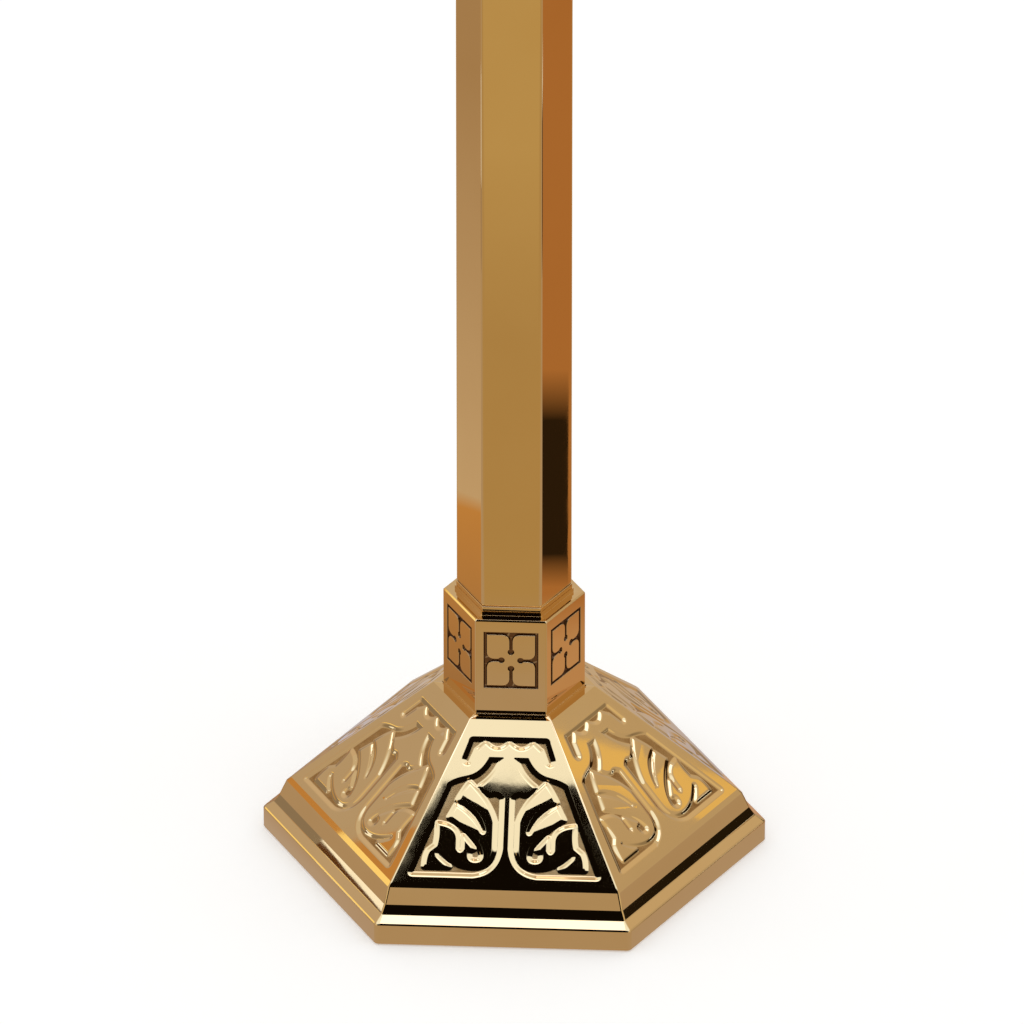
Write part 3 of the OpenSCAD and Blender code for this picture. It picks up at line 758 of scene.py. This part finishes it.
def petalOutlines():
    p = petalLook
    w, h, steps = p["width"] / 2, p["height"] / 2, p["bulbSteps"]
    border = tracePath([[(w, -h)], [(w, h)], [(-w, h)], [(-w, -h)]], p["step"])
    first = petalQuarter()
    petals = [first, first[::-1] * (-1, 1), first * (-1, -1), first[::-1] * (1, -1)]
    bulbs = [(0, p["bulbAt"]), (-p["bulbAt"], 0), (0, -p["bulbAt"]), (p["bulbAt"], 0)]
    saltire = []
    for k, petal in enumerate(petals):
        bulb = np.array(bulbs[k])
        leave, meet = petal[-1] - bulb, petals[(k + 1) % 4][0] - bulb
        inner = math.atan2(-bulb[1], -bulb[0])  # the round end faces the panel's middle
        start, end = (math.atan2(q[1], q[0]) for q in (leave, meet))
        turnIn, turnOut = turnBetween(start, inner), turnBetween(inner, end)
        turns = [start + turnIn * t / steps for t in range(1, steps + 1)]
        turns += [inner + turnOut * t / steps for t in range(1, steps)]
        saltire += [petal, bulb + p["bulbRadius"] * np.array([(math.cos(t), math.sin(t)) for t in turns])]
    shift = np.array([0, collarLook["face"] - p["drop"] - h])
    return [(border + shift, False), (np.concatenate(saltire) + shift, True)]


def collarProfile(foot, up, flange):
    c = collarLook
    e, bead = c["edgeRound"], c["radius"] + c["footFlare"]
    shoulder = c["radius"] - c["shoulderBevel"]
    zFace = c["footBead"]
    zShoulder = zFace + c["face"]
    zNeck = zShoulder + c["shoulderBevel"]
    zTop = zNeck + c["neck"]
    points = [
        (bead, 0, e),
        (bead, zFace, e),
        (c["radius"], zFace, e),
        (c["radius"], zShoulder, e),
        (shoulder, zNeck, e),
        (c["topRadius"], zNeck, e),
        (c["topRadius"], zTop, e),
    ]
    if flange:
        zSeat = zTop - c["flangeSeat"]
        points += [(c["flangeBore"], zTop, None), (c["flangeBore"], zSeat, None)]
        points += [(c["boreRadius"], zSeat, None)]
    else:
        points += [(c["boreRadius"], zTop, None)]
    points += [(c["boreRadius"], 0, None)]
    eased = easeCorners(points, c["ease"])
    faceMiddle = (c["radius"], foot + up * (zFace + zShoulder) / 2)
    return [(r, foot + up * z, e) for r, z, e in eased], faceMiddle


relief = sunkRelief(petalOutlines(), petalLook)
for name, node, body in (("lowerCollar", "base_collar", "stand"), ("upperCollar", "top_collar", "torch")):
    low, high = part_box(node)
    isLower = body == "stand"
    profile, middle = collarProfile((low.z if isLower else high.z) / mm, 1 if isLower else -1, isLower)
    shell = sweepHexagon(profile, collarLook["arcSteps"], faceMiddle=middle, relief=relief)
    makePiece(name, shell, body, "polished_brass", node)
print("collars swept")


# drip pan and candle socket

dripPan = {
    "radius": 72.0, "height": 17.0, "edgeHeight": 5.0, "edgeWidth": 4.0, "footRadius": 52.0, "footLip": 1.1,
    "floor": 7.0, "dishSlope": 6.0, "tenonRadius": 17.05, "tenon": 6.0, "rodHole": 4.25,
    "round": 1.2, "ease": 0.7, "arcSteps": 4, "sideSteps": 6,
}
candleCup = {
    "radius": 25.92, "flare": 3.5, "height": 56.0, "edge": 3.0, "hollow": 6.0, "floor": 14.0, "bore": 19.45,
    "pocketRadius": 8.16, "pocketFloor": 5.4, "rodHole": 4.25,
    "round": 0.8, "ease": 0.35, "arcSteps": 4, "sideSteps": 8,
}
tallest = 99  # mm; no side of the head is as tall, so all of it is shaded as rounded


def dripPanProfile(z):
    d = dripPan
    e, dish = d["round"], d["radius"] - d["edgeWidth"]
    reach, rise = d["radius"] - d["footRadius"], d["height"] - d["edgeHeight"] - d["footLip"]
    hollow = quarterHollow(d["footRadius"], d["footLip"], reach, rise, e)
    under = [(2 * d["footRadius"] - r, h, e) for r, h, e in hollow]
    points = [(d["footRadius"], 0, e)] + under + [
        (d["radius"], d["height"], e),
        (dish, d["height"], e),
        (dish - d["dishSlope"], d["floor"], e),
        (d["rodHole"], d["floor"], None),
        (d["rodHole"], -d["tenon"], None),
        (d["tenonRadius"], -d["tenon"], None),
        (d["tenonRadius"], 0, None),
    ]
    return [(r, z + h, e) for r, h, e in easeCorners(points, d["ease"])]


def candleCupProfile(z):
    c = candleCup
    e, wide = c["round"], c["radius"] + c["flare"]
    foot = quarterHollow(wide, c["edge"], c["flare"], c["hollow"], e)
    zLip = c["height"] - c["edge"] - c["hollow"]
    hollow = quarterHollow(c["radius"], zLip, c["flare"], c["hollow"], e)
    lip = [(2 * c["radius"] - r, h, e) for r, h, e in hollow]
    points = [(wide, 0, e)] + foot + lip + [
        (wide, c["height"], e),
        (c["bore"] + c["ease"], c["height"], None),
        (c["bore"], c["height"] - c["ease"], None),
        (c["bore"], c["floor"], None),
        (c["pocketRadius"], c["floor"], None),
        (c["pocketRadius"], c["pocketFloor"], None),
        (c["rodHole"], c["pocketFloor"], None),
        (c["rodHole"], 0, None),
    ]
    return [(r, z + h, e) for r, h, e in easeCorners(points, c["ease"])]


def sweepHead(name, profile, piece, node):
    shell = sweepHexagon(profile, piece["arcSteps"], piece["sideSteps"], flatFrom=tallest)
    makePiece(name, shell, "torch", "polished_brass", node)


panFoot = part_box("drip_pan")[1].z / mm - dripPan["height"]
sweepHead("dripPan", dripPanProfile(panFoot), dripPan, "drip_pan")
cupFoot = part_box("candle_socket")[0].z / mm
sweepHead("candleCup", candleCupProfile(cupFoot), candleCup, "candle_socket")
print("head swept")


# felt under the stand

feltPad = {
    "edge": 0.7, "edgeShare": 0.3, "unevenness": 0.12, "rings": 14, "cornerRound": 2.0,
    "arcSteps": 3, "sideSteps": 14, "waveX": (0.21, 0.4), "waveY": (0.17, -0.8),
}


def feltPiece():
    f = feltPad
    low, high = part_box("felt_pad")
    radius, thick = high.x / mm, (high.z - low.z) / mm
    (rateX, startX), (rateY, startY) = f["waveX"], f["waveY"]

    def ring(r, z):
        row = []
        for x, y in hexRing(r, f["cornerRound"] * r / radius, f["arcSteps"], f["sideSteps"]):
            wave = math.sin(rateX * x + startX) * math.sin(rateY * y + startY)
            row.append((x * mm, y * mm, (z + f["unevenness"] * wave) * mm))
        return row

    edge, rings, lift = f["edge"], f["rings"], f["unevenness"]
    inset = f["edgeShare"] * edge
    shrink = [radius * k / rings for k in range(1, rings)]
    levels = [(r, lift) for r in shrink]
    levels += [(radius - edge, lift), (radius - inset, lift + inset), (radius, thick / 2)]
    levels += [(radius - inset, thick - lift - inset), (radius - edge, thick - lift)]
    levels += [(r, thick - lift) for r in reversed(shrink)]
    rows = [ring(r, z) for r, z in levels]
    count = len(rows[0])
    points = [p for row in rows for p in row]
    faces = []
    for i in range(len(rows) - 1):
        for j in range(count):
            k = (j + 1) % count
            faces.append((i * count + j, i * count + k, (i + 1) * count + k, (i + 1) * count + j))
    faces += [tuple(range(count)), tuple(range(len(points) - count, len(points)))]
    piece = makePiece("feltPad", {"points": points, "faces": faces}, "stand", "felt", "felt_pad")


feltPiece()
print("felt laid")


# shaft and the other solids keep their shapes and get eased arrises

arrises = {  # node: width in mm and segments of its rounded edges
    "shaft_tube": (1.5, 5), "shaft_spigot": (0.3, 3), "top_plug": (0.3, 3), "socket_tube": (0.3, 3),
    "crown_nut": (0.3, 3), "spigot_nut": (0.3, 3), "cup_nut": (0.3, 3), "bottom_plate": (0.3, 3),
}
arrisAngle, arrisWeld = 35, 0.00001


def easeSolid(node, width, segments):
    owner = nodes[node]
    weld = owner.modifiers.new("weld", "WELD")
    weld.merge_threshold = arrisWeld
    bevel = owner.modifiers.new("arris", "BEVEL")
    bevel.width, bevel.segments, bevel.limit_method = width * mm, segments, "ANGLE"
    bevel.angle_limit = math.radians(arrisAngle)
    weigh = owner.modifiers.new("weighted normals", "WEIGHTED_NORMAL")
    weigh.keep_sharp, weigh.weight = True, normalWeight
    for face in owner.data.polygons:
        face.use_smooth = True


for node, (width, segments) in arrises.items():
    easeSolid(node, width, segments)
print("arrises eased")


# studio

studio = {
    "floorHalf": 20.0, "floorColor": (0.86, 0.86, 0.857), "floorGlow": 0.32,
    "floorDarker": 0.98, "mottle": (6, 4),
    "skyColor": (1, 0.995, 0.985), "skyStrength": 0.9,
    "tableDrop": 0.001,
    "tableShades": [  # the table as the brass mirrors it
        (-0.75, (0.66, 0.58, 0.41)), (-0.55, (0.57, 0.48, 0.34)), (-0.29, (0.57, 0.48, 0.34)),
        (-0.2, (0.57, 0.53, 0.58)), (0.1, (0.57, 0.53, 0.58)), (0.22, (0.6, 0.47, 0.31)),
    ],
    "topHeight": 1.6, "topHalf": 1.5, "topEnds": (-0.97, 0.9),
    "topShades": [
        (-0.97, (0.006, 0.005, 0.004)), (-0.89, (1.3, 1.75, 3.1)),
        (-0.15, (1.3, 1.75, 3.1)), (0.15, (0.8, 0.87, 1.15)),
    ],
    "panelDrop": 0.003,
    "whitePanels": [
        ((-0.3, 0.3), (-0.62, -0.12)), ((-1.0, -0.35), (0.1, 0.75)), ((0.35, 1.0), (0.1, 0.75)),
    ],
    "whiteTone": (2.2, 2.8, 5.2),
    "notch": [  # bite out of the front edge
        (-0.116, -0.866), (-0.036, -0.866), (0.025, -0.99), (-0.177, -0.99),
    ],
    "flagTop": -0.97, "flagFoot": (-2.4, 0.62), "flagTone": (0.006, 0.005, 0.004), "flagHalf": 1.5,
    "frontTone": (0.585, 0.555, 0.6), "frontFoot": -0.0005,
    "wallAway": 2.5, "wallHeight": 6.0, "wallEnds": (-0.6, 3.5),
    "wallShades": [(0.45, 0.55), (0.75, 1.0), (1.5, 1.0), (2.8, 1.25)],  # height and share of the wall's tone
    "leftTone": (0.64, 0.65, 0.82), "rightTone": (0.66, 0.65, 0.72), "backTone": (0.65, 0.66, 0.78),
    "boardHeight": 0.0005,
}


def upright(y0, y1, low, high):
    return [(y0, low), (y1, low), (y1, high), (y0, high)]


sideCards = [  # plain upright cards at a distance x: outline in y and z, tone
    ("goldRight", 2.49, upright(1.115, 1.15, 1.4, 1.75), (1.05, 0.92, 0.55)),
    ("darkRight", 0.6, upright(0, 0.25, 0, 0.095), (0.02, 0.016, 0.012)),
    ("paleRight", 0.602, upright(0.09, 0.25, 0.095, 0.115), (1.4, 1.8, 3.0)),
    ("yellowLeft", -2.49, upright(0.7, 1.075, 0.8, 1.19), (1.4, 1.4, 0.95)),
    ("ochreLeft", -2.49, upright(1.075, 1.3, 0.8, 1.19), (0.7, 0.44, 0.22)),
    ("orangeLeft", -2.49, upright(1.02, 1.155, 1.19, 1.45), (0.7, 0.44, 0.22)),
    ("darkLeft", -0.6, upright(0.04, 0.14, 0, 0.0525), (0.14, 0.07, 0.03)),
    ("paleLeft", -0.6, upright(0.04, 0.14, 0.0525, 0.12), (1.4, 1.8, 3.0)),
]
leftFloor = {  # warm board on the table, paler further off, mirrored by the left side of shaft and collar
    "start": (-0.0218, -0.0126), "heading": math.atan2(0.4637, -0.7135),
    "width": 0.1, "near": 0.12, "far": 2.2,
    "shades": [
        (0.15, (0.44, 0.29, 0.18)), (0.33, (0.68, 0.41, 0.17)),
        (0.345, (0.7, 0.64, 0.58)), (0.8, (0.5, 0.4, 0.3)),
    ],
}
rightFloor = {
    "start": (0.0218, -0.0126), "heading": math.atan2(0.3861, 0.7583),
    "width": 0.1, "near": 0.12, "far": 2.2,
    "shades": [(0.21, (0.66, 0.46, 0.34)), (0.25, (0.53, 0.28, 0.125))],
}
shaftFlag = {  # dark card beside the shaft, mirrored by its right side, with soft ends
    "away": 0.255, "outline": upright(-0.03, 0.0066, 0, 0.13),
    "shades": [
        (0.0, (0.53, 0.28, 0.125)), (0.02, (0.03, 0.02, 0.012)),
        (0.1, (0.03, 0.02, 0.012)), (0.13, (0.53, 0.28, 0.125)),
    ],
}


def stagePlate(name, corners, tone, mirroredOnly=True):
    mesh = bpy.data.meshes.new(name)
    mesh.from_pydata(corners, [], [tuple(range(len(corners)))])
    plate = bpy.data.objects.new(name, mesh)
    scene.collection.objects.link(plate)
    finish = newFinish(name)[0]
    shader = finish.node_tree.nodes["Principled BSDF"]
    shader.inputs["Base Color"].default_value = (0, 0, 0, 1)
    shader.inputs["Roughness"].default_value = 1.0
    shader.inputs["Specular IOR Level"].default_value = 0.0
    shader.inputs["Emission Color"].default_value = (*tone, 1)
    shader.inputs["Emission Strength"].default_value = 1.0
    mesh.materials.append(finish)
    if mirroredOnly:  # seen in the polished metal and nowhere else
        plate.visible_camera = plate.visible_diffuse = plate.visible_shadow = False
    return plate


def shadeAlong(plate, axis, stops):  # the tone changes along one axis, from stop to stop
    tree = plate.data.materials[0].node_tree
    place = addNode(tree, "ShaderNodeTexCoord").outputs["Object"]
    along = addNode(tree, "ShaderNodeSeparateXYZ", Vector=place).outputs[axis]
    tone = stops[0][1]
    for here, ahead in zip(stops, stops[1:]):
        tone = mixColors(tree, spread(tree, along, 0, 1, here[0], ahead[0]), tone, ahead[1])
    tree.links.new(tone, tree.nodes["Principled BSDF"].inputs["Emission Color"])


def level(half, y0, y1, z):
    return [(-half, y0, z), (half, y0, z), (half, y1, z), (-half, y1, z)]


def headingOf(strip):
    along = Vector((math.cos(strip["heading"]), math.sin(strip["heading"]), 0))
    return along, Vector((-along.y, along.x, 0))


def floorCard(name, strip):  # away from a point, its tone changing on the way
    along, across = headingOf(strip)
    across = across * strip["width"] / 2
    start = Vector((*strip["start"], studio["boardHeight"]))
    a, b = (start + along * far for far in (strip["near"], strip["far"]))
    corners = [tuple(a - across), tuple(b - across), tuple(b + across), tuple(a + across)]
    card = stagePlate(name, corners, (0, 0, 0))
    shadeAlong(card, 0, [(strip["start"][0] + along.x * far, tone) for far, tone in strip["shades"]])


def standingCard(name, strip, card):
    along, across = headingOf(strip)
    foot = Vector((*strip["start"], 0)) + along * card["away"]
    corners = [tuple(foot + across * aside + Vector((0, 0, z))) for aside, z in card["outline"]]
    shadeAlong(stagePlate(name, corners, (0, 0, 0)), 2, card["shades"])


def layFloor():
    half = studio["floorHalf"]
    floor = stagePlate("floor", level(half, -half, half, 0), studio["floorColor"], False)
    tree = floor.data.materials[0].node_tree
    shader = tree.nodes["Principled BSDF"]
    shader.inputs["Emission Strength"].default_value = studio["floorGlow"]
    place = addNode(tree, "ShaderNodeTexCoord").outputs["Object"]
    darker = tuple(studio["floorDarker"] * c for c in studio["floorColor"])
    mottle = spread(tree, noiseAt(tree, place, *studio["mottle"]), 0, 1)
    tree.links.new(mixColors(tree, mottle, studio["floorColor"], darker), shader.inputs["Base Color"])
    floor.visible_glossy = False
    table = stagePlate("table", level(half, -half, half, -studio["tableDrop"]), studio["floorColor"])
    shadeAlong(table, 1, studio["tableShades"])


def lightStudio():
    s = studio
    world = bpy.data.worlds.new("studio")
    world.use_nodes = True
    sky = world.node_tree.nodes.get("Background") or world.node_tree.nodes.new("ShaderNodeBackground")
    sky.inputs["Color"].default_value = (*s["skyColor"], 1)
    sky.inputs["Strength"].default_value = s["skyStrength"]
    scene.world = world
    top = stagePlate("overhead", level(s["topHalf"], *s["topEnds"], s["topHeight"]), s["flagTone"])
    shadeAlong(top, 1, s["topShades"])
    z = s["topHeight"] - s["panelDrop"]
    for (x0, x1), (y0, y1) in s["whitePanels"]:
        stagePlate("whitePanel", [(x0, y0, z), (x1, y0, z), (x1, y1, z), (x0, y1, z)], s["whiteTone"])
    stagePlate("notch", [(x, y, z) for x, y in s["notch"]], s["flagTone"])
    half, (y, z) = s["flagHalf"], s["flagFoot"]
    flagHead = [(-half, s["flagTop"], s["topHeight"]), (half, s["flagTop"], s["topHeight"])]
    stagePlate("frontFlag", flagHead + [(half, y, z), (-half, y, z)], s["flagTone"])
    frontFoot = [(half, y, s["frontFoot"]), (-half, y, s["frontFoot"])]
    stagePlate("frontCard", [(-half, y, z), (half, y, z)] + frontFoot, s["frontTone"])
    away, tall = s["wallAway"], s["wallHeight"]
    y0, y1 = s["wallEnds"]
    walls = (
        ("leftWall", (-away, y0), (-away, y1), s["leftTone"]),
        ("rightWall", (away, y0), (away, y1), s["rightTone"]),
        ("backWall", (-away, y1), (away, y1), s["backTone"]),
    )
    for name, a, b, tone in walls:
        wall = stagePlate(name, [(*a, 0), (*b, 0), (*b, tall), (*a, tall)], tone)
        shadeAlong(wall, 2, [(z, tuple(share * c for c in tone)) for z, share in s["wallShades"]])
    scene.view_settings.view_transform = "Standard"


def standCards():  # warm, pale and dark cards that the plinth, the collar and the shaft's side faces mirror
    for name, x, outline, tone in sideCards:
        stagePlate(name, [(x, y, z) for y, z in outline], tone)
    floorCard("leftFloor", leftFloor)
    floorCard("rightFloor", rightFloor)
    standingCard("shaftFlag", rightFloor, shaftFlag)


layFloor()
lightStudio()
standCards()
print("studio lit")
